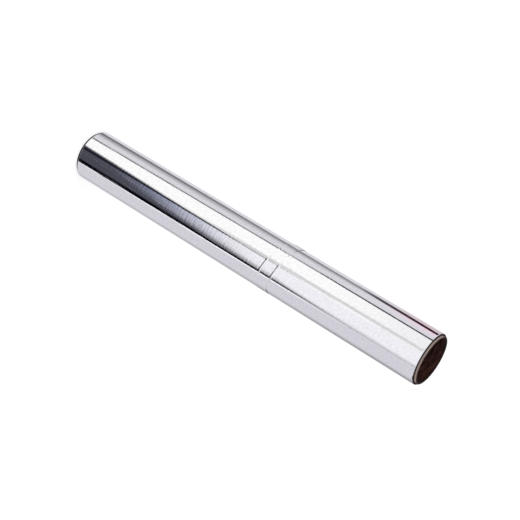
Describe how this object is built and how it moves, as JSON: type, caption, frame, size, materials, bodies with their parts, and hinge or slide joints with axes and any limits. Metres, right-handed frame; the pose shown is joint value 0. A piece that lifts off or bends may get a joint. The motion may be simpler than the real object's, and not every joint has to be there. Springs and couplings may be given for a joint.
{
  "type": "aluminium foil roll",
  "caption": "Household aluminium foil wound on an open cardboard core and held closed by a band of clear tape round its middle, standing on one end.",
  "frame": {"origin": "centre of the core's lower end, on the surface that the roll stands on", "axes": "+Z along the core's axis, up through the roll; the picture looks from the -Y side, with the open end that it shows at +Z"},
  "size_m": [0.0384, 0.0383, 0.303],
  "materials": {
    "core": "spiral-wound grey-brown board, matt",
    "foil": "bright rolled foil, mirror side out, with fine rolling lines round the roll",
    "tape": "clear glossy film"
  },
  "bodies": {
    "root": {"core_tube": "core", "foil_roll": "foil", "closure_tape": "tape"}
  },
  "joints": []
}
